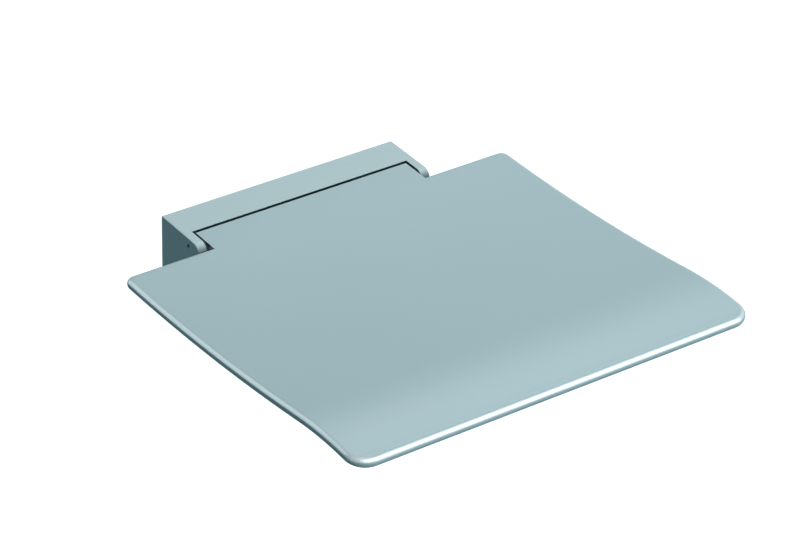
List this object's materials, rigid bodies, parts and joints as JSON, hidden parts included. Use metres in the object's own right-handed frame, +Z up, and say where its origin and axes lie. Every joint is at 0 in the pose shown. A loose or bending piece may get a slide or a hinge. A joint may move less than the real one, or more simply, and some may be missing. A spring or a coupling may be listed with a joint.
{
  "type": "fold down wall seat",
  "caption": "Thin moulded seat with a raised front edge, hinged between the arms of a wall housing; it folds up flat against the wall.",
  "frame": {"origin": "middle of the four wall screw holes, on the rear face of the wall plate, which lies on the wall", "axes": "+Z up, +Y into the wall, the folded down seat reaches out along -Y, +X to the right for someone who faces the wall"},
  "size_m": [0.42, 0.4375, 0.1037],
  "materials": {
    "seat_finish": "satin bluish grey, smooth moulded",
    "housing_finish": "satin bluish grey powder coat",
    "cast_finish": "satin bluish grey powder coat on a casting",
    "grey_plastic": "fine matt texture",
    "aluminium_plate": "mill finish",
    "steel": "stainless, fine brushed",
    "dark_steel": "blackened",
    "bearing_plastic": "dark self lubricating plastic",
    "brass": "turned",
    "rubber": "matt black"
  },
  "bodies": {
    "wall_unit": {"housing": "housing_finish", "wall_plate": "steel", "housing_screws": "steel", "left_stop_pad": "rubber", "right_stop_pad": "rubber", "screw_cover": "grey_plastic", "cover_posts": "steel", "cover_screws": "steel", "pin_lock_screws": "dark_steel", "right_pivot_pin": "dark_steel", "left_pivot_pin": "dark_steel", "right_friction_disc": "bearing_plastic", "left_friction_disc": "bearing_plastic", "right_disc_springs": "steel", "left_disc_springs": "steel", "right_brake_nut": "steel", "left_brake_nut": "steel"},
    "seat": {"seat_shell": "seat_finish", "base_cover": "grey_plastic", "carrier_plate": "aluminium_plate", "hinge_block": "cast_finish", "carrier_screws": "steel", "screw_inserts": "brass", "base_screws": "steel", "left_bush": "bearing_plastic", "right_bush": "bearing_plastic", "left_brake_cover": "grey_plastic", "right_brake_cover": "grey_plastic"}
  },
  "joints": [
    {"name": "seat_fold", "type": "hinge", "parent": "wall_unit", "child": "seat", "pos_m": [0, -0.054, 0.031], "axis": [-1, 0, 0], "range_deg": [0, 90]}
  ]
}
